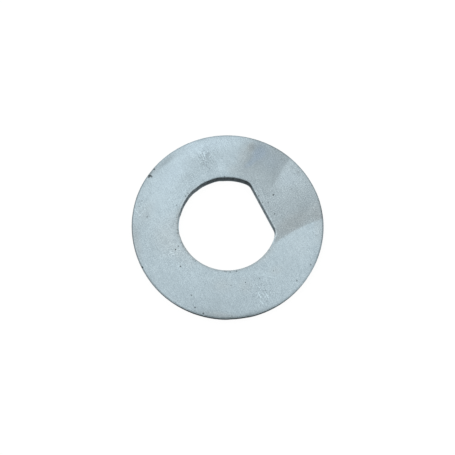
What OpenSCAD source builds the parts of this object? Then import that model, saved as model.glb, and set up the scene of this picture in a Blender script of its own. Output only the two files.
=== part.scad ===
// Axle washer: a disc stamped from steel sheet, with a D-shaped hole that keys it to a flatted axle.
// It lies on its underside at Z = 0. Z is the axle's axis, and the hole's flat side is square to +X.

/* [Washer] */
// Outside diameter
outer_d = 50.8; // [42:0.1:80]
// Thickness of the plated sheet
thickness = 3.1; // [2.3:0.1:6]

/* [Axle hole] */
// Diameter of the axle that the washer slides over
axle_d = 25.4; // [18:0.1:32]
// Depth of the flat that is cut along the axle
axle_flat = 2.45; // [1:0.05:5]
// Gap between the axle and the hole, all round
clearance = 0.15; // [0.05:0.05:1]
// Radius of the hole's two corners, where its flat side meets the round
corner_r = 2.7; // [1:0.1:5]

/* [Stamped edges] */
// Drop of the upper face where the die drew it over at the outer wall
rim_roll_h = 0.2; // [0.1:0.05:0.6]
// Radius of that drawn edge
rim_roll_r = 1.2; // [0.7:0.1:4]
// Rise of the underside where the punch drew it in at the hole
hole_roll_h = 0.2; // [0.1:0.05:0.6]
// Radius of that drawn edge
hole_roll_r = 0.8; // [0.7:0.1:2]
// Height of the sheared strip that stands upright on each wall, next to its drawn edge
land_h = 0.8; // [0.3:0.1:1.2]
// How far the torn rest of each wall leans back from that strip
tear_w = 0.08; // [0.02:0.02:0.3]
// Width of the tumbled edge that ends each torn strip
tumbled_w = 0.1; // [0.05:0.05:0.3]

/* [Hidden] */
$fn = 96;
zinc = [0.70, 0.77, 0.80];

outer_r = outer_d / 2;
hole_r = axle_d / 2 + clearance;
// Distance from the axis to the hole's flat side
flat_x = axle_d / 2 - axle_flat + clearance;
// Centre of the arc in the hole's corner on the +Y side, and the angle that the arc turns through
corner_x = flat_x - corner_r;
corner_y = sqrt(pow(hole_r - corner_r, 2) - pow(corner_x, 2));
corner_a = atan2(corner_y, corner_x);
// The corner arcs are sunk this far into the walls on either side, to meet them at a clean edge
corner_sink = 0.02;
// How far the metal behind a corner arc reaches, to bury it in the walls
corner_depth = 2 * corner_r;
// A length that clears the outer wall from anywhere in the hole
clear_of_rim = outer_d;

// Width of the band that a drawn edge of radius r takes up when it drops by h
function roll_w(r, h) = sqrt(2 * r * h - h * h);

// Section of the stamped disc, from its axis to the outer wall, drawn over at the upper edge
module blank_section() {
    roll_x = outer_r - roll_w(rim_roll_r, rim_roll_h);
    roll_z = thickness - rim_roll_r;
    difference() {
        polygon([
            [0, 0],
            [outer_r - tear_w - tumbled_w, 0],
            [outer_r - tear_w, tumbled_w],
            [outer_r, thickness - rim_roll_h - land_h],
            [outer_r, thickness],
            [0, thickness]
        ]);
        translate([roll_x, roll_z]) difference() {
            square(2 * rim_roll_r);
            rotate(180) circle(rim_roll_r);
        }
    }
}

// Section of the metal from a wall of the hole at x = wall, drawn in at the lower edge
module hole_section(wall, depth) {
    roll_x = wall + roll_w(hole_roll_r, hole_roll_h);
    difference() {
        polygon([
            [wall, 0],
            [wall + depth, 0],
            [wall + depth, thickness],
            [wall + tear_w + tumbled_w, thickness],
            [wall + tear_w, thickness - tumbled_w],
            [wall, hole_roll_h + land_h]
        ]);
        translate([roll_x, hole_roll_r]) difference() {
            rotate(180) square(2 * hole_roll_r);
            circle(hole_roll_r);
        }
    }
}

// The metal round the hole: its section swept round the axle, along the flat side and round both corners
module hole_surround() {
    rotate_extrude() hole_section(hole_r, clear_of_rim);
    rotate([90, 0, 0]) translate([0, 0, -clear_of_rim])
        linear_extrude(2 * clear_of_rim) hole_section(flat_x, clear_of_rim);
    for (side = [0, 1])
        mirror([0, side, 0]) translate([corner_x, corner_y, 0])
            rotate_extrude(angle = corner_a, start = 0) hole_section(corner_r + corner_sink, corner_depth);
}

module washer() {
    color(zinc) intersection() {
        rotate_extrude() blank_section();
        hole_surround();
    }
}

washer();
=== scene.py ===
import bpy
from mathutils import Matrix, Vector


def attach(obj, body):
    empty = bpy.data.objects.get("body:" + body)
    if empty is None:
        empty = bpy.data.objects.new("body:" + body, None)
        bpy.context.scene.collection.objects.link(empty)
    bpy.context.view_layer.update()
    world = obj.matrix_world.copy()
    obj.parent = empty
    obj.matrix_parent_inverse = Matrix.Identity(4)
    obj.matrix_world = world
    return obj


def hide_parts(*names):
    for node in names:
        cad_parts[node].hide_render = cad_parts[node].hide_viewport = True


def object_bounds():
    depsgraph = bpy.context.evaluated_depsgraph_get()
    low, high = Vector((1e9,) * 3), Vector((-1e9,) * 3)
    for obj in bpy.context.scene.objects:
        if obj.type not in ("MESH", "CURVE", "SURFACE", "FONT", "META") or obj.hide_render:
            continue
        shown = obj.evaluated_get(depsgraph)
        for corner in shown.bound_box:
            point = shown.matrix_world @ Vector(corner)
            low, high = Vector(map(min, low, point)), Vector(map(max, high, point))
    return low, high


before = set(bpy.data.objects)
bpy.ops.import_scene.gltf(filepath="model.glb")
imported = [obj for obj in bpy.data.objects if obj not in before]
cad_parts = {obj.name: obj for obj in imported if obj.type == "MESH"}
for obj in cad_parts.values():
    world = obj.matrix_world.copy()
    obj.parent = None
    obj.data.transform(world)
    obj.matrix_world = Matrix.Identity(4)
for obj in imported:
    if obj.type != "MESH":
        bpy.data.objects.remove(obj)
CAD_BOX = [list(corner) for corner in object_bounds()]

import math

import bpy
import numpy as np
from mathutils import Matrix, Vector, noise

# Sizes in millimetres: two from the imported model's box, the others as in the part's source
MM = 0.001
OUTER_R = round(CAD_BOX[1][0] / MM, 2)
THICKNESS = round(CAD_BOX[1][2] / MM, 2)
HOLE_R = 12.85
FLAT_X = 10.4
CORNER_R = 2.7
RIM_ROLL_H = 0.2
RIM_ROLL_R = 1.2
HOLE_ROLL_H = 0.2
HOLE_ROLL_R = 0.8
LAND_H = 0.8
TEAR_W = 0.08
TUMBLED_W = 0.1

# How finely the mesh follows those sizes
STEPS_ROUND = 800
ROWS_FACE = 36
ROWS_UNDERSIDE = 14
ROWS_ROLL = 9
WALL_ROW = 0.15
EDGE_FILLET = 0.04
RIM_FILLET = 0.15

# Rows of the rolled edge that end nearer than this to its fillet are left out
LEAST_ROW = 0.03

# Any place nearer the axis than this belongs to the hole, and the others to the rim
MIDDLE_R = (HOLE_R + OUTER_R) / 2

# Relief of the walls: its usual depth in millimetres, and the height, fineness and seed of each noise on it
RELIEF = {
    "torn": (0.030, [(0.022, 1.9, 0), (0.014, 5.0, 1)]),
    "land": (0.014, [(0.006, 3.1, 2)]),
    "edge": (0.016, [(0.012, 1.3, 3), (0.008, 4.0, 4)]),
}
RELIEF["brim"] = RELIEF["edge"]

# The sheared strip's relief is drawn out into upright lines: its noise hardly changes along Z
LAND_LINES = (1, 1, 0.08)

# The least depth, which keeps every wall inside the solids
LEAST_RELIEF = 0.008

# What is added to the seeds at the hole and at the rim
HOLE_SEED = 3
RIM_SEED = 8

# The part of the upper face that the press bent: its borders, its crease and its drop, in millimetres
FAN_LOWER_TOP = (17.0, -9.7)
FAN_LOWER_CURVE = 0.012
FAN_LOWER_SOFT = 0.6
FAN_UPPER_EDGE = ((8.6, 12.2), (15.6, 19.0))
FAN_UPPER_SOFT = 5.2
FAN_START_X = (7.6, 9.6)
CREASE_POINT = (13.5, 3.0)
CREASE_SLOPE = 0.62
BEND_DROP = 0.075
BEND_X = (10.0, 24.0)
RIDGE_Y = 4.0
RIDGE_REACH = 11.0
RIDGE_RISE = 0.045

# Waviness of the whole upper face: half its height in millimetres, and its length and start along X and Y
SHEET_WAVE = 0.006
WAVE_X = (6.1, 0.4)
WAVE_Y = (7.3, 1.9)

# How deep under the upper face its bend and its marks start and end to fade out, in millimetres
BEND_FADE = (0.1, 0.9)
MARKS_FADE = (0.3, 1.2)

# The camera, as measured from the photograph's ellipses; angles in degrees
CAMERA_LENS = 55.385
CAMERA_DISTANCE = 184.6
CAMERA_AZIMUTH = -117.23
CAMERA_ELEVATION = 71.83
CAMERA_ROLL = 0.975
CAMERA_SHIFT_Y = -0.010813

# The side of the studio that is left dim, as an azimuth in degrees
FRONT_AZIMUTH = -117

# The floor: half its side in metres, its depth under the washer in millimetres, and its greys.
# One grey is for the light that it throws back on the washer, one takes the shadow and one is seen.
FLOOR_HALF = 3.0
FLOOR_GAP = 0.02
FLOOR_BOUNCE = 0.8
FLOOR_SHADOWED = 0.12
FLOOR_WHITE = 0.92

# Colours of the plating, plain and tinted, of the sheared and torn steel under it, and of glancing light
ZINC = (0.456, 0.556, 0.607)
ZINC_WARM = (0.483, 0.556, 0.584)
ZINC_BLUE = (0.449, 0.556, 0.647)
SHEARED = (0.146, 0.172, 0.184)
TORN = (0.093, 0.112, 0.122)
GLANCING_TINT = (0.66, 0.80, 0.86)

# Two places along the crease, one where the bent part's painted dark reflection is left out and a strip of
# painted shade: how far under it they start and end in millimetres, and from which X
LIGHT_LOBE = ((-0.9, 1.5), (2.0, 9.5), (13.0, 20.5))
DARK_STRIP = ((-4.5, -0.2), (-0.2, 0.6), (13.5, 17.0))

# Lightness of the plating and of the bare walls, where 1 is plain, and what painted reflections and shade
# add to it on the bent part, along its crease, at the near rim, along the hole's edge and on the rolled
# edge
BENT_REFLECTION_TONE = -0.078
DARK_STRIP_TONE = -0.038
NEAR_RIM_SHADE_TONE = -0.13
HOLE_EDGE_SHADE_TONE = -0.085
ROLLED_EDGE_SHADE = -0.075
HOLE_WALL_TONE = 0.92
RIM_WALL_TONE = 0.97

# The powers that the shader takes of the lightness, and of the grain in red, green and blue
TONE_POWER = 2.2
GRAIN_POWERS = (1.07, 1.0, 0.94)

# How much the streaks, the scratches and the drawn lines of the walls change the lightness
STREAK_SHARE = 0.17
SCRATCH_SHARE = 0.42
DRAWN_SHARE = 2.0

# How much each coarser unevenness of the plating changes its lightness
MOTTLE_SHARE = 0.28
ROLLED_SHARE = 0.28
CLOUD_SHARE = 0.06

# How high the grain, the mottling, the rolling lines, the streaks and the specks stand in the relief
RELIEF_SHARES = (0.6, 0.8, 0.5, 0.25, -1.5)
RELIEF_HEIGHT = 0.02

# Specks and scratches fade out between these shares of their radius or half width
SPECK_FADE = (0.55, 1.25)
SCRATCH_FADE = (0.4, 1.8)

# The width within which the specks' outlines wander, in millimetres
SPECK_WANDER = 0.35

# Strength of the plating's fine grain, and what the bent part adds to it
PLAIN_GRAIN = 1.42
BENT_GRAIN = 0.65

# How brown the bent part and the painted shade along the hole's edge are, from 0 to 1
BENT_WARM = 0.45
HOLE_EDGE_SHADE_WARM = 0.5

# How metallic and how rough the plating is, and what mottling, bare steel and specks add to it
PLAIN_METALLIC = 0.9
BARE_METALLIC = -0.6
PLAIN_ROUGHNESS = 0.34
MOTTLE_ROUGHNESS = 0.16
BARE_ROUGHNESS = 0.40
SPECK_ROUGHNESS = 0.3

# Where zinc reached the hole's wall: the angles over which it starts and ends, and how much of it there is
PLATED_START = (136, 158)
PLATED_END = (317, 321)
PLATED_SHARE = 0.85

# How ragged the ends of that zinc are: by how many degrees, how finely, and the seed of its noise
RAGGED_BY = 2.0
RAGGED_FINENESS = 0.9
RAGGED_SEED = 21

# Where the blank was knocked a little flat, so that the outer wall lies inside its circle.
# This and each table of arcs below gives start and end in degrees from +X, softness and amount.
RIM_FLATS = [
    (140, 178, 24, 0.10),
    (-4, 20, 16, 0.06),
    (-116, -104, 5, 0.08),
]

# Where the punch tore the hole a little wider
HOLE_WIDENED = [
    (71, 83, 7, 0.13),
    (84, 100, 10, 0.08),
    (106, 118, 8, 0.09),
    (142, 168, 10, 0.14),
]

# Arcs of painted light and shade: where the bare walls, the rolled edge of the face and the hole's upper
# edge are painted lighter or darker
HOLE_WALL_LIGHT_ARCS = [
    (98, 200, 36, 0.36),
    (-38, 30, 12, 0.45),
]
RIM_WALL_SHADE_ARCS = [
    (-142, -95, 24, -0.20),
]
NEAR_ARC = (-150, -84, 30)
ROLLED_EDGE_SHADE_ARCS = [
    (*NEAR_ARC, 0.035),
    (72, 112, 20, 0.035),
    (135, 196, 40, -0.20),
    (-50, -12, 16, -0.10625),
]
BRIM_LIGHT_AND_SHADE_ARCS = [
    (-38, 36, 6, 0.08),
    (-52, -39, 6, 0.16),
    (96, 140, 10, 0.10),
    (40, 82, 16, -0.05),
]

# The rolled edge's width in the picture, how much narrower it is on the near side, and its softness
ROLLED_W = 0.60
ROLLED_NARROWER = 0.32
ROLLED_SOFT = 0.35

# The painted shade along the hole's edge: its arcs, and how far into the face it starts and ends to fade
# out
HOLE_EDGE_SHADE_ARCS = [
    (100, 304, 24, 1.0),
    (140, 198, 20, 0.6),
]
HOLE_EDGE_SHADE_FADE = (0.1, 1.0)

# The painted shade along the near rim: its arc, and each layer's share and how far into the face it fades
# out
NEAR_RIM_SHADE_ARC = (-137, -92, 26)
NEAR_RIM_SHADE_LAYERS = [
    (0.2, (0.8, 2.6)),
    (0.8, (0.2, 1.2)),
]

# Soft patches on the upper face, partly the plating's own uneven tone and partly painted reflections and
# shade: centre, half lengths, turn in degrees, softness, amount
PLAIN_TONES = [
    ((-10.5, 15.5), (9.0, 5.0), 42, 0.9, 0.062),
    ((-1.0, 23.2), (6.0, 2.2), 0, 0.9, 0.060),
    ((9.0, 21.3), (4.6, 2.4), -28, 0.9, 0.055),
    ((6.0, 14.2), (1.8, 1.2), -25, 0.9, 0.030),
    ((-6.9, 23.1), (2.3, 0.8), 17, 0.7, -0.130),
    ((-10.6, 21.9), (1.8, 0.8), 25, 0.8, -0.060),
    ((2.9, 18.2), (1.9, 2.3), 20, 0.5, -0.034),
    ((1.6, 22.5), (1.9, 1.5), 0, 0.8, 0.040),
    ((5.6, 16.8), (1.0, 1.9), 0, 0.8, 0.022),
    ((-3.5, 16.4), (2.4, 1.1), 0, 0.8, -0.025),
    ((-6.0, 15.2), (3.4, 1.3), 12, 0.8, -0.024),
    ((7.8, 12.6), (1.3, 1.9), 0, 0.8, -0.026),
    ((-3.0, 23.9), (2.4, 0.9), 6, 0.8, -0.036),
    ((-11.6, 22.2), (1.6, 0.5), 28, 0.6, -0.050),
    ((-15.2, 19.5), (2.2, 0.9), 40, 0.8, -0.032),
    ((-23.3, 8.8), (2.6, 1.3), 70, 0.8, -0.052),
    ((-24.4, 4.5), (3.2, 0.8), 80, 0.8, -0.042),
    ((-20.4, 9.0), (2.2, 1.6), 45, 0.8, -0.032),
    ((-24.2, -4.6), (3.0, 0.8), 100, 0.8, -0.026),
    ((-13.2, 4.9), (2.8, 0.7), 70, 0.8, -0.024),
    ((10.0, 15.4), (1.3, 1.1), 0, 0.8, 0.022),
    ((15.6, -19.3), (2.6, 0.9), 39, 0.8, -0.028),
    ((8.6, -10.5), (1.2, 0.5), 30, 0.8, -0.030),
    ((-12.2, -18.4), (3.6, 1.8), -37, 0.9, -0.028),
    ((-9.0, -16.6), (8.0, 3.6), -20, 0.9, -0.010),
    ((8.8, -17.2), (2.0, 1.9), 0, 0.9, -0.026),
    ((21.6, -12.6), (3.0, 1.0), 60, 0.8, -0.034),
    ((16.7, 18.6), (1.8, 1.2), -45, 0.8, 0.055),
    ((14.5, -13.2), (7.0, 3.6), 35, 0.9, 0.030),
    ((-5.0, -21.0), (9.0, 3.2), 0, 0.9, -0.022),
    ((-17.5, -12.0), (7.0, 4.5), -50, 0.9, -0.014),
    ((-14.8, -19.0), (4.0, 0.9), -38, 0.8, -0.045),
    ((-22.5, 3.0), (2.0, 6.0), 0, 0.9, -0.012),
    ((1.6, 16.7), (1.0, 1.0), 0, 0.8, -0.024),
    ((-5.4, -24.1), (1.8, 0.6), 12, 0.8, -0.022),
    ((9.4, -9.6), (0.9, 0.6), 45, 0.8, -0.025),
    ((-17.8, 12.9), (2.2, 1.5), 20, 0.8, -0.040),
    ((-15.2, -10.4), (2.8, 2.0), -50, 0.9, 0.022),
    ((4.8, 16.4), (1.6, 1.6), 0, 0.8, 0.022),
    ((13.3, 20.2), (1.7, 1.0), -35, 0.8, 0.022),
    ((-14.8, 3.6), (1.0, 1.8), 0, 0.8, 0.024),
    ((-13.2, -8.0), (1.4, 1.0), 30, 0.8, 0.024),
    ((-0.2, -18.8), (1.2, 1.8), 0, 0.8, -0.022),
    ((-0.4, 14.7), (1.8, 0.9), 0, 0.8, 0.022),
    ((-4.8, 19.7), (1.6, 1.2), 0, 0.8, 0.020),
    ((0.8, 24.7), (1.4, 0.6), 0, 0.8, 0.030),
    ((-5.1, 12.9), (1.3, 0.4), 22, 0.8, -0.045),
    ((-10.5, 8.8), (0.5, 1.2), -40, 0.8, -0.045),
    ((-18.3, 10.8), (2.2, 0.9), -40, 0.8, -0.022),
    ((-24.6, 1.0), (0.6, 1.6), 0, 0.8, -0.028),
    ((-21.3, -12.5), (1.5, 0.7), -60, 0.8, -0.024),
    ((-17.6, -14.8), (1.1, 0.9), 0, 0.8, -0.022),
]
# Painted reflections and shade on the bent part, partly its own uneven tone, in the same columns
BENT_REFLECTION_TONES = [
    ((16.6, 12.8), (6.0, 3.2), -42, 0.9, -0.046),
    ((16.5, -7.8), (8.0, 2.3), 3, 0.8, -0.047),
    ((20.0, -4.6), (2.2, 1.3), -15, 0.9, -0.028),
    ((12.3, 15.7), (2.2, 1.5), 42, 0.9, 0.034),
    ((15.5, 16.6), (1.1, 0.9), 45, 0.6, -0.055),
    ((17.6, 15.5), (1.6, 1.3), -45, 0.8, -0.045),
    ((23.0, 1.0), (1.7, 2.3), 0, 0.8, 0.046),
    ((22.2, -6.8), (1.6, 1.3), 0, 0.8, 0.040),
    ((20.4, 7.0), (2.4, 1.1), 32, 0.8, 0.036),
    ((17.3, 11.6), (1.5, 1.2), 0, 0.8, 0.022),
    ((16.7, 18.6), (1.8, 1.2), -45, 0.8, 0.040),
    ((19.3, -9.2), (1.5, 0.8), 0, 0.8, 0.022),
    ((11.8, 3.4), (0.9, 2.6), 0, 0.8, 0.024),
    ((19.2, 15.9), (1.2, 0.9), -50, 0.8, 0.024),
    ((21.6, 12.3), (1.6, 0.9), -60, 0.8, -0.024),
    ((10.0, 9.2), (1.0, 1.0), 0, 0.8, 0.024),
    ((9.75, -8.80), (0.9, 0.30), 47, 0.8, 0.07),
    ((14.2, 0.1), (2.4, 1.5), 0, 0.8, 0.034),
    ((12.0, -6.2), (1.2, 1.2), 0, 0.8, 0.028),
    ((22.8, -8.6), (1.4, 1.4), 0, 0.8, -0.024),
    ((12.3, 12.6), (1.4, 1.1), 0, 0.8, -0.022),
    ((18.3, 3.0), (1.8, 1.4), 0, 0.8, 0.020),
    ((23.8, 5.3), (1.0, 1.4), -12, 0.8, -0.030),
    ((9.5, -9.9), (0.7, 0.5), 45, 0.8, -0.040),
]
WARM_PATCHES = [
    ((-15.8, 3.0), (3.4, 4.2), 0, 0.9, 0.62),
    ((-14.2, -3.6), (1.6, 3.2), 20, 0.9, 0.40),
    ((-24.0, 6.0), (4.5, 1.2), 75, 0.8, 0.55),
    ((-18.2, 12.0), (2.8, 1.8), 45, 0.9, 0.35),
    ((-12.2, 22.0), (2.2, 0.9), 30, 0.8, 0.35),
    ((20.6, -13.0), (2.8, 1.4), 60, 0.9, 0.40),
    ((14.0, -14.0), (3.6, 2.6), 30, 0.9, 0.18),
    ((7.9, 12.4), (1.3, 1.8), 0, 0.8, 0.45),
    ((15.4, -7.7), (5.2, 2.0), 5, 0.8, 0.60),
    ((22.6, -8.0), (1.6, 2.6), -20, 0.9, 0.55),
    ((15.4, 16.6), (1.3, 0.9), 45, 0.5, 0.90),
    ((12.4, 15.4), (2.6, 1.3), 45, 0.9, 0.40),
    ((-8.6, -14.6), (2.2, 1.5), -20, 0.9, 0.45),
    ((-3.5, -17.2), (1.5, 1.6), 0, 0.9, 0.45),
    ((5.4, -17.2), (1.4, 1.0), 0, 0.9, 0.40),
    ((-12.4, -21.3), (3.4, 0.7), -33, 0.8, 0.60),
    ((5.6, -12.2), (2.6, 0.8), 25, 0.9, 0.45),
    ((-11.8, 6.8), (1.6, 2.4), -30, 0.9, 0.35),
]
BLUE_PATCHES = [
    ((16.3, 13.9), (1.8, 1.3), 20, 0.7, 1.00),
    ((13.2, 12.5), (1.6, 0.7), 15, 0.8, 0.90),
    ((17.8, 15.2), (2.2, 1.6), -45, 0.9, 0.45),
    ((18.0, 10.8), (3.0, 2.2), -45, 0.9, 0.35),
    ((-7.0, 19.0), (5.0, 2.4), 25, 0.9, 0.20),
    ((5.5, 22.4), (7.0, 2.0), -15, 0.9, 0.22),
    ((20.6, 3.8), (2.6, 2.0), 0, 0.9, 0.15),
]

# Rubbed places with fine streaks: centre, half lengths, turn, softness, strength
RUBBED = [
    ((3.0, 18.9), (2.4, 3.2), 0, 0.5, 0.85),
    ((-0.4, -20.4), (2.6, 3.6), 0, 0.7, 0.60),
    ((19.6, -12.2), (1.6, 1.8), -20, 0.7, 0.50),
    ((-18.6, 14.8), (1.8, 2.6), -40, 0.7, 0.55),
    ((22.8, 5.2), (1.4, 2.0), 20, 0.7, 0.60),
    ((-3.2, 17.6), (1.8, 1.4), 0, 0.7, 0.45),
]

# Where the grain is rougher, or finer where the amount is negative
GRAIN_PATCHES = [
    ((-7.0, 20.0), (9.0, 3.6), 25, 0.9, -0.45),
    ((-14.5, 12.5), (3.6, 3.0), 50, 0.9, -0.45),
    ((-20.0, -8.0), (4.0, 3.0), -65, 0.9, -0.35),
    ((9.5, -16.5), (4.0, 3.0), 30, 0.9, -0.35),
    ((15.5, -11.0), (3.4, 3.0), 40, 0.9, -0.35),
    ((-9.5, -16.5), (4.0, 2.6), -30, 0.9, -0.20),
    ((15.0, 11.0), (8.0, 5.0), -45, 0.9, -0.70),
    ((3.0, 18.9), (2.4, 3.0), 0, 0.6, 0.75),
    ((-0.4, -20.4), (2.6, 3.4), 0, 0.7, 0.60),
    ((-16.4, -0.6), (1.8, 1.6), 0, 0.8, 0.70),
    ((-14.6, -4.0), (1.8, 2.6), 15, 0.8, 0.40),
    ((-2.6, 15.6), (2.0, 1.4), 0, 0.8, 0.60),
]

# Dark specks and pits in the plating: place, radius and depth of tone
SPECKS = [
    ((-12.90, 21.15), 0.44, 0.75),
    ((-13.25, 20.95), 0.34, 0.65),
    ((-12.55, 20.75), 0.30, 0.60),
    ((-12.30, 21.75), 0.20, 0.50),
    ((-11.05, 22.35), 0.28, 0.65),
    ((-25.16, -1.12), 0.31, 0.80),
    ((-15.40, -0.65), 0.24, 0.65),
    ((-14.40, -0.15), 0.20, 0.60),
    ((-16.20, -5.30), 0.22, 0.70),
    ((-16.90, -13.40), 0.20, 0.50),
    ((-17.40, -16.65), 0.24, 0.65),
    ((-17.60, -15.95), 0.16, 0.40),
    ((-16.20, -18.95), 0.26, 0.60),
    ((-10.00, -22.80), 0.20, 0.45),
    ((-3.75, -12.85), 0.20, 0.45),
    ((-3.05, -16.50), 0.20, 0.60),
    ((-6.70, -15.60), 0.16, 0.35),
    ((0.70, -17.20), 0.20, 0.45),
    ((4.90, -17.00), 0.20, 0.40),
    ((14.50, 1.60), 0.27, 0.60),
    ((12.20, 0.20), 0.21, 0.50),
    ((12.25, -3.35), 0.20, 0.50),
    ((10.80, 3.05), 0.20, 0.60),
    ((10.80, 1.00), 0.18, 0.50),
    ((19.60, 0.90), 0.26, 0.20),
    ((14.25, -19.80), 0.26, 0.45),
    ((9.05, -21.90), 0.26, 0.45),
    ((-10.00, 10.30), 0.24, 0.35),
    ((-6.78, 11.62), 0.23, 0.50),
    ((5.08, 12.04), 0.22, 0.50),
    ((-18.35, 10.80), 0.26, 0.35),
    ((-17.70, 15.50), 0.24, 0.35),
    ((-19.05, 14.40), 0.20, 0.35),
    ((23.60, 4.40), 0.26, 0.20),
    ((21.20, 9.90), 0.24, 0.22),
    ((21.80, 10.70), 0.24, 0.18),
    ((4.40, 20.10), 0.20, 0.12),
    ((2.65, 18.10), 0.24, 0.22),
    ((3.80, 18.00), 0.30, 0.10),
    ((1.85, 17.20), 0.26, 0.12),
    ((1.50, 17.70), 0.22, 0.14),
    ((2.65, 20.80), 0.16, 0.20),
    ((2.45, 15.95), 0.26, 0.12),
    ((0.65, -20.60), 0.20, 0.25),
    ((1.80, -21.20), 0.18, 0.18),
    ((-5.85, 12.05), 0.19, 0.45),
    ((-8.10, 10.75), 0.16, 0.22),
    ((-11.34, 7.30), 0.19, 0.30),
    ((-11.14, 7.84), 0.16, 0.20),
    ((-12.72, 4.00), 0.22, 0.32),
    ((-13.00, 3.15), 0.28, 0.30),
    ((-13.30, 0.45), 0.17, 0.40),
    ((-13.27, -0.30), 0.16, 0.30),
    ((-13.30, -0.82), 0.17, 0.40),
    ((-13.02, -3.10), 0.16, 0.28),
    ((-12.50, -5.02), 0.20, 0.28),
    ((-12.10, -5.75), 0.20, 0.22),
    ((-6.50, -11.52), 0.20, 0.32),
    ((-6.20, -11.76), 0.20, 0.32),
    ((-5.30, -12.30), 0.22, 0.34),
    ((-21.30, -13.30), 0.17, 0.35),
]

# Light scratches: both ends, half width and strength
SCRATCHES = [
    ((-20.35, 13.70), (-19.90, 11.95), 0.08, 0.62),
    ((-19.90, 11.95), (-17.90, 13.00), 0.08, 0.52),
    ((3.20, 20.90), (2.95, 20.30), 0.10, 0.90),
    ((2.95, 20.30), (2.90, 19.30), 0.10, 0.80),
    ((2.15, 19.15), (2.40, 18.85), 0.12, 0.90),
    ((2.40, 18.65), (2.20, 17.70), 0.09, 0.75),
    ((1.80, 21.30), (1.60, 20.20), 0.09, 0.55),
    ((1.50, 19.80), (1.40, 18.60), 0.08, 0.40),
    ((3.90, 21.00), (3.40, 20.20), 0.08, 0.45),
    ((4.80, 19.40), (3.60, 18.90), 0.08, 0.40),
    ((5.10, 18.60), (4.20, 18.20), 0.08, 0.40),
    ((2.40, 21.60), (2.30, 21.00), 0.09, 0.45),
    ((-1.30, -20.30), (-1.25, -21.90), 0.11, 0.72),
    ((-1.75, -22.60), (-1.50, -23.40), 0.10, 0.60),
    ((-0.60, -18.10), (-0.42, -19.90), 0.09, 0.55),
    ((-0.95, -20.40), (0.20, -19.80), 0.08, 0.35),
    ((0.35, -21.20), (0.50, -22.80), 0.09, 0.50),
    ((0.50, -22.80), (0.20, -23.70), 0.09, 0.40),
    ((-0.30, -20.90), (-0.40, -21.40), 0.12, 0.50),
    ((2.00, -16.50), (3.20, -17.40), 0.08, 0.35),
    ((2.40, -17.10), (3.60, -18.20), 0.08, 0.30),
    ((-16.75, -0.75), (-16.45, -1.05), 0.10, 0.65),
    ((-16.60, -1.45), (-16.35, -1.75), 0.09, 0.55),
    ((-17.10, -0.30), (-16.90, -0.65), 0.09, 0.45),
    ((-17.75, -1.00), (-17.45, -1.25), 0.09, 0.45),
    ((-18.00, 0.05), (-17.75, -0.25), 0.09, 0.35),
    ((-15.50, 1.10), (-15.20, 0.95), 0.12, 0.40),
    ((-17.10, -5.60), (-16.45, -4.75), 0.08, 0.50),
    ((-17.00, -4.80), (-16.40, -5.15), 0.08, 0.50),
    ((-16.95, -5.95), (-16.60, -5.80), 0.09, 0.50),
    ((-17.95, -3.95), (-17.70, -4.10), 0.12, 0.40),
    ((-10.80, 12.70), (-11.60, 12.40), 0.09, 0.35),
    ((1.20, -16.40), (4.60, -19.00), 0.08, 0.25),
    ((2.80, -16.60), (5.40, -18.60), 0.08, 0.22),
    ((3.40, 19.60), (3.90, 17.80), 0.08, 0.35),
]


# The D-shaped hole
def hole_outline(angle):
    """Points of the hole's edge at these polar angles, and the normals that point into the metal."""
    corner_x = FLAT_X - CORNER_R
    corner_y = math.sqrt((HOLE_R - CORNER_R) ** 2 - corner_x ** 2)
    ray = np.stack([np.cos(angle), np.sin(angle)], -1)
    turn = np.abs((angle + math.pi) % (2 * math.pi) - math.pi)
    side = np.where(ray[:, 1] < 0, -1.0, 1.0)
    centre = np.stack([np.full_like(side, corner_x), corner_y * side], -1)
    along = (ray * centre).sum(1)
    reach = along + np.sqrt(np.maximum(along ** 2 - (centre ** 2).sum(1) + CORNER_R ** 2, 0))
    on_flat = turn <= math.atan2(corner_y, FLAT_X)
    on_round = turn >= math.atan2(corner_y, corner_x)
    reach = np.where(on_flat, FLAT_X / np.maximum(ray[:, 0], 0.1), reach)
    reach = np.where(on_round, HOLE_R, reach)
    point = ray * reach[:, None]
    normal = (point - centre) / CORNER_R
    normal = np.where(on_flat[:, None], [1.0, 0.0], normal)
    normal = np.where(on_round[:, None], ray, normal)
    return point, normal


# Sections of the two walls
def arc(centre, radius, start, end, steps):
    """Points along an arc, with its angles in degrees."""
    angles = np.radians(np.linspace(start, end, steps + 1))
    return [(centre[0] + radius * math.cos(a), centre[1] + radius * math.sin(a)) for a in angles]


def fillet(before, corner, after, size, steps=2):
    """Points that round a corner of a section, starting and ending at this distance from it."""
    before, corner, after = (np.array(p) for p in (before, corner, after))
    start = corner + (before - corner) / np.linalg.norm(before - corner) * size
    end = corner + (after - corner) / np.linalg.norm(after - corner) * size
    shares = np.linspace(0, 1, steps + 1)[:, None]
    curve = start * (1 - shares) ** 2 + corner * 2 * shares * (1 - shares) + end * shares ** 2
    return [tuple(p) for p in curve]


def upright(start, end):
    """Points between two points of a wall, at the wall's row height."""
    rows = max(2, round(math.dist(start, end) / WALL_ROW))
    return [tuple(np.array(start) + (np.array(end) - np.array(start)) * k / rows) for k in range(1, rows)]


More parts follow.
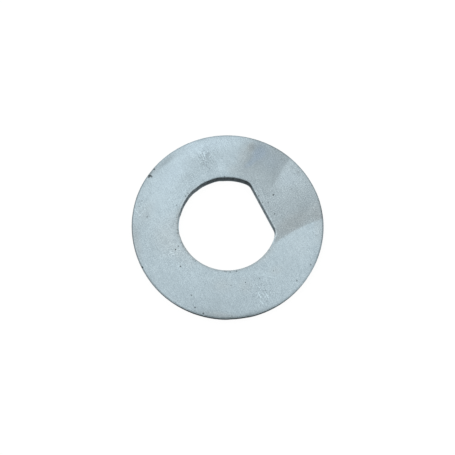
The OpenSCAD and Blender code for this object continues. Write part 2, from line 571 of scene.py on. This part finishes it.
def rim_section():
    """(radius, z, zone) down the outer wall, from the upper face to the underside."""
    drop = math.degrees(math.acos(1 - RIM_ROLL_H / RIM_ROLL_R))
    roll_x = OUTER_R - RIM_ROLL_R * math.sin(math.radians(drop))
    roll = arc((roll_x, THICKNESS - RIM_ROLL_R), RIM_ROLL_R, 90, 90 - drop, ROWS_ROLL)
    land_top = roll[-1]
    land_end = (OUTER_R, THICKNESS - RIM_ROLL_H - LAND_H)
    tear_end = (OUTER_R - TEAR_W, TUMBLED_W)
    foot = (OUTER_R - TEAR_W - TUMBLED_W, 0)
    top_edge = fillet(roll[-3], land_top, land_end, RIM_FILLET, 5)
    low_edge = fillet(land_end, tear_end, foot, EDGE_FILLET)
    foot_edge = fillet(tear_end, foot, (0, 0), EDGE_FILLET)
    rows = [(*p, "roll") for p in roll if p[0] < top_edge[0][0] - LEAST_ROW]
    rows += [(*p, "edge") for p in top_edge]
    rows += [(*p, "land") for p in upright(top_edge[-1], land_end)]
    rows += [(*p, "torn") for p in [land_end] + upright(land_end, low_edge[0])]
    rows += [(*p, "edge") for p in low_edge + foot_edge]
    return rows


def hole_section():
    """(offset into the metal, z, zone) up the hole's wall, from the underside to the upper face."""
    drop = math.degrees(math.acos(1 - HOLE_ROLL_H / HOLE_ROLL_R))
    roll_x = HOLE_ROLL_R * math.sin(math.radians(drop))
    roll = arc((roll_x, HOLE_ROLL_R), HOLE_ROLL_R, 270, 270 - drop, ROWS_ROLL)
    land_foot = roll[-1]
    land_end = (0, HOLE_ROLL_H + LAND_H)
    tear_end = (TEAR_W, THICKNESS - TUMBLED_W)
    brim = (TEAR_W + TUMBLED_W, THICKNESS)
    foot_edge = fillet(roll[-2], land_foot, land_end, EDGE_FILLET)
    high_edge = fillet(land_end, tear_end, brim, EDGE_FILLET)
    brim_edge = fillet(tear_end, brim, (OUTER_R, THICKNESS), EDGE_FILLET)
    rows = [(*p, "roll") for p in roll[:-1]]
    rows += [(*p, "edge") for p in foot_edge]
    rows += [(*p, "land") for p in upright(foot_edge[-1], land_end)]
    rows += [(*p, "torn") for p in [land_end] + upright(land_end, high_edge[0])]
    rows += [(*p, "brim") for p in high_edge + brim_edge]
    return rows


# Relief and marks of the metal
def ripple(points, scale, seed):
    """Smooth noise from -1 to 1 at these points, in millimetres."""
    shift = Vector((seed * 17.3, seed * 5.1, seed * 9.7))
    return np.array([noise.noise(Vector(p) * scale + shift) for p in points])


def smooth(low, high, x):
    """0 below low, 1 above high, and a smooth rise between them."""
    t = np.clip((x - low) / (high - low), 0, 1)
    return t * t * (3 - 2 * t)


def patch(x, y, centre, half, turn, soft):
    """A soft-edged ellipse: 1 inside, 0 outside. half is its two half lengths, turn in degrees."""
    c, s = math.cos(math.radians(turn)), math.sin(math.radians(turn))
    u = ((x - centre[0]) * c + (y - centre[1]) * s) / half[0]
    v = (-(x - centre[0]) * s + (y - centre[1]) * c) / half[1]
    return 1 - smooth(1 - soft, 1 + soft, np.hypot(u, v))


def beside(x, y, start, end, soft):
    """How far a point lies left of the line from start to end: 0 to 1 over a band of width soft."""
    length = math.dist(start, end)
    nx, ny = -(end[1] - start[1]) / length, (end[0] - start[0]) / length
    return smooth(-soft / 2, soft / 2, (x - start[0]) * nx + (y - start[1]) * ny)


def pressed_fan(x, y):
    """The part of the upper face beyond the hole's flat, which the press bent a little: 0 to 1."""
    lower_y = FAN_LOWER_TOP[1] - FAN_LOWER_CURVE * (x - FAN_LOWER_TOP[0]) ** 2
    lower = smooth(-FAN_LOWER_SOFT / 2, FAN_LOWER_SOFT / 2, y - lower_y)
    upper = 1 - beside(x, y, *FAN_UPPER_EDGE, FAN_UPPER_SOFT)
    return lower * upper * smooth(*FAN_START_X, x)


def below_crease(x, y):
    """How far a point lies under the crease that crosses the bent part, in millimetres along Y."""
    return CREASE_POINT[1] + CREASE_SLOPE * (x - CREASE_POINT[0]) - y


def sum_of_patches(patches, x, y):
    """The sum of soft patches, each given as its centre, half lengths, turn, softness and amount."""
    return sum(amount * patch(x, y, *ellipse) for *ellipse, amount in patches)


def band(turn, start, end, soft):
    """1 between two angles in degrees, 0 outside, with soft ends."""
    away = np.abs((turn - (start + end) / 2 + 180) % 360 - 180)
    return 1 - smooth((end - start - soft) / 2, (end - start + soft) / 2, away)


def sum_of_arcs(arcs, turn):
    """The sum of soft arcs, each given as its start, end, softness and amount."""
    return sum(amount * band(turn, *arc_ends) for *arc_ends, amount in arcs)


def polar(x, y):
    """The angle from +X in degrees, and the distance from the axis."""
    return np.degrees(np.arctan2(y, x)), np.hypot(x, y)


def along_crease(place, below, x):
    """1 in a place along the crease, 0 outside, with soft ends."""
    start, end, start_x = place
    return smooth(*start, below) * (1 - smooth(*end, below)) * smooth(*start_x, x)


def near_rim_shade(turn, radius):
    """Painted shade along the near rim of the upper face: 0 to 1."""
    outer = sum(share * (1 - smooth(*fade, OUTER_R - radius)) for share, fade in NEAR_RIM_SHADE_LAYERS)
    return band(turn, *NEAR_RIM_SHADE_ARC) * outer


def hole_edge_shade(turn, radius):
    """How strong the painted shade along the hole's round edge is, on the face, where 1 is usual."""
    return sum_of_arcs(HOLE_EDGE_SHADE_ARCS, turn) * (1 - smooth(*HOLE_EDGE_SHADE_FADE, radius - HOLE_R))


def rolled_edge_shade(turn, radius):
    """The painted shade on the rolled edge of the upper face, all round: what it adds to the face's
    lightness.
    """
    start = OUTER_R - ROLLED_W + ROLLED_NARROWER * band(turn, *NEAR_ARC)
    tone = ROLLED_EDGE_SHADE + sum_of_arcs(ROLLED_EDGE_SHADE_ARCS, turn)
    return tone * smooth(start, start + ROLLED_SOFT, radius)


def face_tone(x, y):
    """How light the upper face is, where 1 is plain: the plating's own tone, with painted reflections and
    shade.
    """
    turn, radius = polar(x, y)
    fan = pressed_fan(x, y)
    below = below_crease(x, y)
    bent = BENT_REFLECTION_TONE * (1 - along_crease(LIGHT_LOBE, below, x)) + sum_of_patches(BENT_REFLECTION_TONES, x, y)
    bent += DARK_STRIP_TONE * along_crease(DARK_STRIP, below, x)
    plain = sum_of_patches(PLAIN_TONES, x, y)
    # Painted shade at the near rim, along the hole's round edge and on the rolled edge
    edges = NEAR_RIM_SHADE_TONE * near_rim_shade(turn, radius) + HOLE_EDGE_SHADE_TONE * hole_edge_shade(turn, radius)
    return 1 + fan * bent + (1 - fan) * plain + edges + rolled_edge_shade(turn, radius)


def face_warm(x, y):
    """Where the plating is a little browner: 0 to 1."""
    brown = BENT_WARM * pressed_fan(x, y) + HOLE_EDGE_SHADE_WARM * hole_edge_shade(*polar(x, y))
    return np.clip(brown + sum_of_patches(WARM_PATCHES, x, y), 0, 1)


def face_blue(x, y):
    """Where the plating has a bluish film: 0 to 1."""
    return np.clip(sum_of_patches(BLUE_PATCHES, x, y), 0, 1)


def grain_depth(x, y):
    """How strong the plating's fine grain is on the upper face."""
    return PLAIN_GRAIN + BENT_GRAIN * pressed_fan(x, y) + sum_of_patches(GRAIN_PATCHES, x, y)


def face_drop(x, y):
    """How far the upper face lies under its highest level, in millimetres."""
    ridge = 0.5 + 0.5 * np.cos((y - RIDGE_Y) / RIDGE_REACH * math.pi)
    bend = pressed_fan(x, y) * smooth(*BEND_X, x) * (BEND_DROP - RIDGE_RISE * ridge)
    wave = np.sin(x / WAVE_X[0] + WAVE_X[1]) * np.sin(y / WAVE_Y[0] + WAVE_Y[1])
    return bend + SHEET_WAVE * (1 + wave)


def bare_wall_tone(turn, in_hole):
    """How light the walls' bare steel is, where 1 is plain, painted lighter on arcs of the hole's wall and
    darker on the near side of the rim's wall.
    """
    hole = HOLE_WALL_TONE + sum_of_arcs(HOLE_WALL_LIGHT_ARCS, turn)
    rim = RIM_WALL_TONE + sum_of_arcs(RIM_WALL_SHADE_ARCS, turn)
    return np.where(in_hole, hole, rim)


def bare_share(turn, in_hole):
    """How much of a wall is bare steel; zinc reached the rest of the hole's wall."""
    swing = turn % 360
    plated = PLATED_SHARE * smooth(*PLATED_START, swing) * (1 - smooth(*PLATED_END, swing))
    return 1 - plated * in_hole


# The mesh
def build_rings():
    """All rows of the washer as (positions, zone), once round its section: face, rim, underside, hole."""
    angle = np.arange(STEPS_ROUND) * 2 * math.pi / STEPS_ROUND
    ray = np.stack([np.cos(angle), np.sin(angle)], -1)
    edge, normal = hole_outline(angle)

    def ring(flat_points, z):
        return np.concatenate([flat_points, np.full((STEPS_ROUND, 1), z)], 1)

    inset = sum_of_arcs(RIM_FLATS, np.degrees(angle))
    wider = sum_of_arcs(HOLE_WIDENED, np.degrees(angle))
    rim = [(ring(ray * (r - inset)[:, None], z), zone) for r, z, zone in rim_section()]
    hole = [(ring(edge + normal * (o + wider)[:, None], z), zone) for o, z, zone in hole_section()]

    def between(start, end, rows):
        shares = [k / rows for k in range(1, rows)]
        return [(start * (1 - s) + end * s, "face") for s in shares]

    face = between(hole[-1][0], rim[0][0], ROWS_FACE)
    under = between(rim[-1][0], hole[0][0], ROWS_UNDERSIDE)
    return face + rim + under + hole, normal, ray


def wall_relief(points, zone, outward, seed):
    """Moves a row of a wall into the metal by what the press left on it."""
    if zone not in RELIEF:
        return points
    depth, waves = RELIEF[zone]
    drawn = points * LAND_LINES if zone == "land" else points
    for height, fineness, wave_seed in waves:
        depth = depth + height * ripple(drawn, fineness, seed + wave_seed)
    moved = points.copy()
    moved[:, :2] -= outward * np.maximum(depth, LEAST_RELIEF)[:, None]
    return moved


def near_top(z, fade):
    """1 at the upper face and 0 deep under it, with a soft change between the two depths of the fade."""
    start, end = fade
    return smooth(THICKNESS - end, THICKNESS - start, z)


def shape_rows(rings, hole_normal, ray):
    """All vertices in millimetres, row by row, with the walls' relief and the upper face's bend."""
    shaped = []
    for points, zone in rings:
        in_hole = np.hypot(points[:, 0], points[:, 1]).mean() < MIDDLE_R
        outward = -hole_normal if in_hole else ray
        points = wall_relief(points, zone, outward, HOLE_SEED if in_hole else RIM_SEED)
        x, y, z = points.T
        shaped.append(np.stack([x, y, z - face_drop(x, y) * near_top(z, BEND_FADE)], 1))
    return np.concatenate(shaped)


def faces_between(rows):
    """Four-sided faces from each row to the next, and from the last to the first."""
    step = np.arange(STEPS_ROUND)
    after = (step + 1) % STEPS_ROUND
    quads = []
    for row in range(rows):
        a = row * STEPS_ROUND
        b = (row + 1) % rows * STEPS_ROUND
        quads.append(np.stack([a + step, b + step, b + after, a + after], 1))
    return np.concatenate(quads)


def add_values(mesh, name, values):
    """A number for each vertex, which the material reads by name."""
    values = np.asarray(values, np.float32)
    mesh.attributes.new(name, "FLOAT", "POINT").data.foreach_set("value", values)


def add_looks(mesh, points, zones):
    """What the material has to know about each vertex."""
    x, y, z = points.T
    turn, radius = polar(x, y)
    in_hole = radius < MIDDLE_R
    top = near_top(z, MARKS_FADE)
    ragged = RAGGED_BY * ripple(points, RAGGED_FINENESS, RAGGED_SEED)
    bare = bare_share(turn + ragged, in_hole)
    land = (zones == "land") * bare
    torn = (zones == "torn") * bare
    # The face's lightness with its painted reflections and shade, and a painted highlight, with a little
    # painted shade, on arcs of the hole's upper edge
    plated = 1 + (face_tone(x, y) - 1) * top + sum_of_arcs(BRIM_LIGHT_AND_SHADE_ARCS, turn) * (zones == "brim")
    wall = bare_wall_tone(turn, in_hole)
    add_values(mesh, "land", land)
    add_values(mesh, "torn", torn)
    add_values(mesh, "tone", plated + (wall - plated) * np.minimum(land + torn, 1))
    add_values(mesh, "warm", face_warm(x, y) * top)
    add_values(mesh, "blue", face_blue(x, y) * top)
    add_values(mesh, "rubbed", np.clip(sum_of_patches(RUBBED, x, y), 0, 1) * top)
    add_values(mesh, "grain", PLAIN_GRAIN + (grain_depth(x, y) - PLAIN_GRAIN) * top)
    add_values(mesh, "top", top)


def washer_mesh():
    """The whole washer as one closed mesh, with the values that its material reads."""
    rings, hole_normal, ray = build_rings()
    points = shape_rows(rings, hole_normal, ray)
    zones = np.repeat([zone for _, zone in rings], STEPS_ROUND)
    mesh = bpy.data.meshes.new("washer_plated")
    mesh.from_pydata((points * MM).tolist(), [], faces_between(len(rings)).tolist())
    add_looks(mesh, points, zones)
    mesh.polygons.foreach_set("use_smooth", np.ones(len(mesh.polygons), bool))
    mesh.update()
    return mesh


# Material
class Graph:
    """Short calls that add nodes to one material or world."""

    def __init__(self, tree):
        self.tree = tree
        tree.nodes.clear()

    def node(self, kind, inputs=(), **settings):
        made = self.tree.nodes.new(kind)
        for name, value in settings.items():
            setattr(made, name, value)
        for key, value in dict(inputs).items():
            self.put(made.inputs[key], value)
        return made

    def put(self, socket, value):
        if isinstance(value, bpy.types.NodeSocket):
            self.tree.links.new(value, socket)
        else:
            socket.default_value = value

    def math(self, operation, a, b=0.0, c=0.0):
        return self.node("ShaderNodeMath", {0: a, 1: b, 2: c}, operation=operation).outputs[0]

    def product(self, first, *others):
        for other in others:
            first = self.math("MULTIPLY", first, other)
        return first

    def vary(self, noise_value, amount):
        """A factor around 1 that follows a noise, by this much from its lowest to its highest."""
        return self.math("MULTIPLY_ADD", noise_value, amount, 1 - amount / 2)

    def value(self, name):
        return self.node("ShaderNodeAttribute", attribute_name=name).outputs["Fac"]

    def spread(self, x, low, high, to_low=0.0, to_high=1.0):
        """x from low..high to to_low..to_high, clamped and smooth."""
        inputs = {0: x, 1: low, 2: high, 3: to_low, 4: to_high}
        return self.node("ShaderNodeMapRange", inputs, interpolation_type="SMOOTHSTEP").outputs[0]

    def noise(self, place, scale, detail, rough):
        inputs = {"Vector": place, "Scale": scale, "Detail": detail, "Roughness": rough}
        return self.node("ShaderNodeTexNoise", inputs).outputs[0]

    def stretch(self, place, scale, turn=0.0):
        inputs = {"Vector": place, "Rotation": (0, 0, math.radians(turn)), "Scale": scale}
        return self.node("ShaderNodeMapping", inputs).outputs[0]

    def mix(self, factor, a, b, mode="MIX"):
        made = self.node("ShaderNodeMix", {0: factor, 6: a, 7: b}, data_type="RGBA", blend_type=mode)
        return made.outputs[2]


def rgba(colour):
    return (*colour, 1.0)


def grey(level):
    return rgba((level, level, level))


def speck_mask(g, place):
    """1 inside the specks, 0 outside, with uneven outlines."""
    inputs = {"Vector": place, "Scale": 3.5, "Detail": 2.0}
    wander = g.node("ShaderNodeTexNoise", inputs).outputs["Color"]
    inputs = {0: wander, 1: (0.5, 0.5, 0.5)}
    wander = g.node("ShaderNodeVectorMath", inputs, operation="SUBTRACT").outputs[0]
    inputs = {0: wander, "Scale": SPECK_WANDER}
    wander = g.node("ShaderNodeVectorMath", inputs, operation="SCALE").outputs[0]
    moved = g.node("ShaderNodeVectorMath", {0: place, 1: wander}, operation="ADD").outputs[0]
    total = 0.0
    for (x, y), radius, depth in SPECKS:
        centre = (x, y, THICKNESS)
        gap = g.node("ShaderNodeVectorMath", {0: moved, 1: centre}, operation="DISTANCE").outputs["Value"]
        inner, outer = (part * radius for part in SPECK_FADE)
        spot = g.spread(gap, inner, outer, depth, 0.0)
        total = g.math("MAXIMUM", spot, total)
    return total


def scratch_mask(g, place):
    """Up to 1 along the scratches, 0 elsewhere."""
    total = 0.0
    for start, end, half, strength in SCRATCHES:
        along = Vector((end[0] - start[0], end[1] - start[1], 0))
        inputs = {0: place, 1: (*start, THICKNESS)}
        offset = g.node("ShaderNodeVectorMath", inputs, operation="SUBTRACT").outputs[0]
        inputs = {0: offset, 1: along / along.length_squared}
        share = g.node("ShaderNodeVectorMath", inputs, operation="DOT_PRODUCT").outputs["Value"]
        share = g.math("MINIMUM", g.math("MAXIMUM", share, 0.0), 1.0)
        foot = g.node("ShaderNodeVectorMath", {0: along, "Scale": share}, operation="SCALE").outputs[0]
        gap = g.node("ShaderNodeVectorMath", {0: offset, 1: foot}, operation="DISTANCE").outputs["Value"]
        inner, outer = (part * half for part in SCRATCH_FADE)
        line = g.spread(gap, inner, outer, strength, 0.0)
        total = g.math("MAXIMUM", line, total)
    return total


def fine_grain(g, place, grain, mottle, rolled):
    """The fine unevenness of the plating's lightness, around 1."""
    cloud = g.noise(place, scale=0.16, detail=2.0, rough=0.5)
    fine = g.math("MULTIPLY_ADD", g.math("SUBTRACT", grain, 0.5), g.value("grain"), 1.0)
    coarse = ((mottle, MOTTLE_SHARE), (rolled, ROLLED_SHARE), (cloud, CLOUD_SHARE))
    return g.product(fine, *(g.vary(layer, share) for layer, share in coarse))


def lightness(g, place, bare, rub, specks):
    """How light the surface is, with its painted reflections and shade, the drawn lines of its bare walls,
    its streaks and its marks.
    """
    drawn = g.noise(g.stretch(place, scale=(1.5, 1.5, 0.45)), scale=1.0, detail=3.0, rough=0.6)
    drawn = g.math("MULTIPLY", g.math("SUBTRACT", drawn, 0.5), g.math("MULTIPLY", bare, DRAWN_SHARE))
    scratches = g.math("MULTIPLY", scratch_mask(g, place), g.value("top"))
    return g.product(
        g.math("POWER", g.value("tone"), TONE_POWER),
        g.math("ADD", drawn, 1.0),
        g.math("MULTIPLY_ADD", rub, STREAK_SHARE, 1.0),
        g.math("MULTIPLY_ADD", scratches, SCRATCH_SHARE, 1.0),
        g.math("SUBTRACT", 1.0, specks),
    )


def surface_colour(g, light, fine):
    """The plating's colours, and on the walls those of bare steel, times their lightness and grain."""
    colour = g.mix(g.value("warm"), rgba(ZINC), rgba(ZINC_WARM))
    colour = g.mix(g.value("blue"), colour, rgba(ZINC_BLUE))
    colour = g.mix(g.value("land"), colour, rgba(SHEARED))
    colour = g.mix(g.value("torn"), colour, rgba(TORN))
    shade = [g.math("MULTIPLY", light, g.math("POWER", fine, power)) for power in GRAIN_POWERS]
    shade = g.node("ShaderNodeCombineXYZ", dict(enumerate(shade))).outputs[0]
    return g.mix(1.0, colour, shade, "MULTIPLY")


def relief_bump(g, *layers):
    """The plating's finest relief, as a bump."""
    height = 0.0
    for layer, share in zip(layers, RELIEF_SHARES):
        height = g.math("MULTIPLY_ADD", layer, share, height)
    inputs = {"Strength": 0.25, "Distance": RELIEF_HEIGHT * MM, "Height": height}
    return g.node("ShaderNodeBump", inputs).outputs[0]


def zinc_material():
    """Dull zinc plating on the faces, and bare, duller steel on the walls."""
    material = bpy.data.materials.new("zinc_plated_steel")
    material.use_nodes = True
    g = Graph(material.node_tree)
    place = g.node("ShaderNodeTexCoord").outputs["Object"]
    inputs = {0: place, "Scale": 1 / MM}
    place = g.node("ShaderNodeVectorMath", inputs, operation="SCALE").outputs[0]

    grain = g.noise(place, scale=3.6, detail=3.0, rough=0.75)
    mottle = g.noise(place, scale=0.75, detail=3.0, rough=0.6)
    rolling = g.stretch(place, scale=(3.0, 0.35, 1.0), turn=8)
    rolled = g.noise(rolling, scale=1.0, detail=2.0, rough=0.6)
    rubbing = g.stretch(place, scale=(3.2, 0.60, 1.0), turn=-6)
    streaks = g.noise(rubbing, scale=1.0, detail=2.0, rough=0.6)
    streaks = g.spread(streaks, low=0.34, high=0.66, to_low=-1.0, to_high=1.0)
    rub = g.math("MULTIPLY", streaks, g.value("rubbed"))
    specks = g.math("MULTIPLY", speck_mask(g, place), g.value("top"))
    bare = g.math("ADD", g.value("torn"), g.value("land"))

    light = lightness(g, place, bare, rub, specks)
    fine = fine_grain(g, place, grain, mottle, rolled)
    roughness = g.math("MULTIPLY_ADD", mottle, MOTTLE_ROUGHNESS, PLAIN_ROUGHNESS)
    roughness = g.math("MULTIPLY_ADD", bare, BARE_ROUGHNESS, roughness)
    roughness = g.math("MULTIPLY_ADD", specks, SPECK_ROUGHNESS, roughness)
    inputs = {
        "Base Color": surface_colour(g, light, fine),
        "Metallic": g.math("MULTIPLY_ADD", bare, BARE_METALLIC, PLAIN_METALLIC),
        "Roughness": roughness,
        "Specular IOR Level": 0.1,
        "Specular Tint": rgba(GLANCING_TINT),
        "Normal": relief_bump(g, grain, mottle, rolled, rub, specks),
    }
    shader = g.node("ShaderNodeBsdfPrincipled", inputs).outputs[0]
    g.node("ShaderNodeOutputMaterial", {"Surface": shader})
    return material


# Surroundings
def seen_directly(g):
    """1 for what the camera sees of a surface, straight or in a reflection or through glass."""
    path = g.node("ShaderNodeLightPath").outputs
    either = g.math("MAXIMUM", path["Is Camera Ray"], path["Is Glossy Ray"])
    return g.math("MAXIMUM", either, path["Is Transmission Ray"])


def floor_material():
    material = bpy.data.materials.new("floor_white")
    material.use_nodes = True
    g = Graph(material.node_tree)
    plain = g.node("ShaderNodeBsdfDiffuse", {"Color": grey(FLOOR_BOUNCE)}).outputs[0]
    faint = g.node("ShaderNodeBsdfDiffuse", {"Color": grey(FLOOR_SHADOWED)}).outputs[0]
    white = g.node("ShaderNodeEmission", {"Color": grey(FLOOR_WHITE), "Strength": 1.0}).outputs[0]
    shown = g.node("ShaderNodeAddShader", {0: faint, 1: white}).outputs[0]
    mixed = g.node("ShaderNodeMixShader", {0: seen_directly(g), 1: plain, 2: shown}).outputs[0]
    g.node("ShaderNodeOutputMaterial", {"Surface": mixed})
    return material


def make_floor():
    mesh = bpy.data.meshes.new("floor")
    signs = ((-1, -1), (1, -1), (1, 1), (-1, 1))
    corners = [(FLOOR_HALF * a, FLOOR_HALF * b, -FLOOR_GAP * MM) for a, b in signs]
    mesh.from_pydata(corners, [], [(0, 1, 2, 3)])
    mesh.materials.append(floor_material())
    floor = bpy.data.objects.new("floor", mesh)
    bpy.context.scene.collection.objects.link(floor)


def make_world():
    """Soft light from above, dimmer walls, dimmest in front, and a white sweep at their foot."""
    world = bpy.data.worlds.new("studio")
    world.use_nodes = True
    g = Graph(world.node_tree)
    way = g.node("ShaderNodeTexCoord").outputs["Generated"]
    height = g.node("ShaderNodeSeparateXYZ", {0: way}).outputs[2]
    inputs = {0: way, 1: direction(FRONT_AZIMUTH, 15)}
    front = g.node("ShaderNodeVectorMath", inputs, operation="DOT_PRODUCT").outputs["Value"]
    walls = g.spread(height, low=0.20, high=0.75, to_low=0.45, to_high=1.03)
    dimming = g.spread(front, low=0.72, high=1.0, to_low=1.0, to_high=0.35)
    sweep = g.spread(height, low=0.08, high=0.14, to_low=1.0, to_high=0.0)
    level = g.math("MAXIMUM", g.math("MULTIPLY", walls, dimming), sweep)
    light = g.node("ShaderNodeBackground", {"Color": grey(1.0), "Strength": level}).outputs[0]
    g.node("ShaderNodeOutputWorld", {"Surface": light})
    bpy.context.scene.world = world


def direction(azimuth, elevation):
    """The unit vector towards an azimuth from +X and an elevation, in degrees."""
    a, e = math.radians(azimuth), math.radians(elevation)
    return Vector((math.cos(a) * math.cos(e), math.sin(a) * math.cos(e), math.sin(e)))


def make_lamp(name, azimuth, elevation, distance, size, power):
    data = bpy.data.lights.new(name, "AREA")
    data.shape = "DISK"
    data.size = size
    data.energy = power
    lamp = bpy.data.objects.new(name, data)
    away = direction(azimuth, elevation)
    lamp.location = away * distance
    lamp.rotation_euler = away.to_track_quat("Z", "Y").to_euler()
    bpy.context.scene.collection.objects.link(lamp)


def make_camera():
    data = bpy.data.cameras.new("camera")
    data.lens = CAMERA_LENS
    data.sensor_width = 36.0
    data.shift_y = CAMERA_SHIFT_Y
    data.clip_start = 0.01
    data.clip_end = 20.0
    back = direction(CAMERA_AZIMUTH, CAMERA_ELEVATION)
    right = direction(CAMERA_AZIMUTH + 90, 0)
    up = back.cross(right)
    c, s = math.cos(math.radians(CAMERA_ROLL)), math.sin(math.radians(CAMERA_ROLL))
    turned_right = right * c + up * s
    turned_up = up * c - right * s
    camera = bpy.data.objects.new("camera", data)
    place = Matrix((turned_right, turned_up, back)).transposed().to_4x4()
    place.translation = Vector((0, 0, THICKNESS * MM)) + back * CAMERA_DISTANCE * MM
    camera.matrix_world = place
    bpy.context.scene.collection.objects.link(camera)
    bpy.context.scene.camera = camera


bpy.context.scene.view_settings.view_transform = "Standard"
make_camera()
make_world()
make_lamp("key", azimuth=160, elevation=50, distance=0.7, size=0.45, power=0.3)
make_floor()

washer = bpy.data.objects.new("washer_plated", washer_mesh())
bpy.context.scene.collection.objects.link(washer)
washer.data.materials.append(zinc_material())
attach(washer, "root")
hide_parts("washer")
